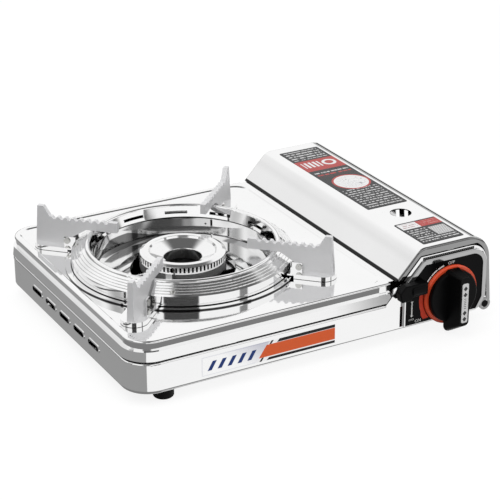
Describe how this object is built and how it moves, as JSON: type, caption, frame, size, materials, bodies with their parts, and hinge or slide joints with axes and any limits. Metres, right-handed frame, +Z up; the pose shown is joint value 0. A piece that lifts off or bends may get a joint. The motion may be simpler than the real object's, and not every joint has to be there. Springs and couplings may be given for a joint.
{
  "type": "butane cassette stove",
  "caption": "Flat portable gas stove with a hinged cartridge compartment lid, lift-off pot trivet, slotted ring burner, turning gas knob with igniter and a sliding cartridge lock lever.",
  "frame": {"origin": "under the middle of the stove, on the surface that its feet stand on", "axes": "+Z up, the knob faces -Y, the cartridge lid is at +X"},
  "size_m": [0.3412, 0.2898, 0.0939],
  "materials": {
    "polished_steel": "mirror polished stainless sheet",
    "pressed_steel": "satin stainless",
    "galvanised_steel": "dull galvanised sheet",
    "blade_steel": "matt blasted stainless",
    "burner_metal": "heat-dulled cast metal",
    "cast_alloy": "raw die cast",
    "strip_metal": "bare strip",
    "brass": "bare turned brass",
    "bright_trim": "chrome plated",
    "black_plastic": "moulded black, slight sheen",
    "panel_black": "gloss black with pale printed marks",
    "orange_plastic": "moulded orange red",
    "rubber": "matt black",
    "label_film": "printed film in dark grey, red and white",
    "decal_film": "printed film in orange and grey",
    "ceramic": "glazed",
    "lead_sleeve": "soft red sleeve",
    "fastener_steel": "zinc plated"
  },
  "bodies": {
    "case": {"top_plate": "polished_steel", "lower_case": "polished_steel", "wind_shield": "polished_steel", "hinge_rod": "polished_steel", "burner_pan": "pressed_steel", "lid_catches": "pressed_steel", "electrode_hood": "pressed_steel", "hinge_brackets": "pressed_steel", "partition": "galvanised_steel", "burner_stand": "galvanised_steel", "mixing_tube": "galvanised_steel", "air_shutter": "galvanised_steel", "jet_bracket": "galvanised_steel", "regulator_bracket": "galvanised_steel", "piezo_bracket": "galvanised_steel", "carriage_guides": "galvanised_steel", "burner_cap": "burner_metal", "burner_bowl": "burner_metal", "regulator_body": "cast_alloy", "diaphragm_cover": "cast_alloy", "cartridge_socket": "cast_alloy", "heat_strip": "strip_metal", "gas_pipe": "brass", "jet": "brass", "panel_bezel": "bright_trim", "hinge_caps": "black_plastic", "piezo_igniter": "black_plastic", "control_panel": "panel_black", "foot_back_right": "rubber", "foot_back_left": "rubber", "foot_front_left": "rubber", "foot_front_right": "rubber", "valve_seal": "rubber", "front_decal": "decal_film", "electrode": "ceramic", "ignition_lead": "lead_sleeve", "case_screws": "fastener_steel"},
    "lid": {"lid_shell": "polished_steel", "lid_label_large": "label_film", "lid_label_small": "label_film"},
    "trivet": {"trivet_ring": "polished_steel", "trivet_rivets": "fastener_steel", "blade_back_right": "blade_steel", "blade_back_left": "blade_steel", "blade_front_left": "blade_steel", "blade_front_right": "blade_steel", "tongue_back_right": "blade_steel", "tongue_back_left": "blade_steel", "tongue_front_left": "blade_steel", "tongue_front_right": "blade_steel"},
    "knob": {"gas_knob": "black_plastic", "dial_ring": "orange_plastic", "knob_insert": "bright_trim", "knob_stem": "fastener_steel"},
    "plunger": {"piezo_plunger": "fastener_steel"},
    "lever": {"lock_lever": "black_plastic", "lock_slide": "pressed_steel"},
    "carriage": {"cartridge_carriage": "galvanised_steel"}
  },
  "joints": [
    {"name": "lid_hinge", "type": "hinge", "parent": "case", "child": "lid", "pos_m": [0.16445, 0.01155, 0.0164], "axis": [0, 1, 0], "range_deg": [0, 95]},
    {"name": "trivet_lift", "type": "slide", "parent": "case", "child": "trivet", "axis": [0, 0, 1], "range_m": [0, 0.06]},
    {"name": "knob_turn", "type": "hinge", "parent": "case", "child": "knob", "pos_m": [0.12575, -0.12945, 0.0357], "axis": [0, -1, 0], "range_deg": [0, 115]},
    {"name": "plunger_slide", "type": "slide", "parent": "case", "child": "plunger", "axis": [0, 1, 0], "range_m": [0, 0.004]},
    {"name": "lock_lever_slide", "type": "slide", "parent": "case", "child": "lever", "axis": [0, 0, -1], "range_m": [0, 0.014]},
    {"name": "carriage_slide", "type": "slide", "parent": "case", "child": "carriage", "axis": [0, -1, 0], "range_m": [0, 0.006]}
  ],
  "couplings": [
    {"joint": "plunger_slide", "follows": "knob_turn", "m_per_rad": 0.001992},
    {"joint": "carriage_slide", "follows": "lock_lever_slide", "ratio": 0.4285}
  ]
}
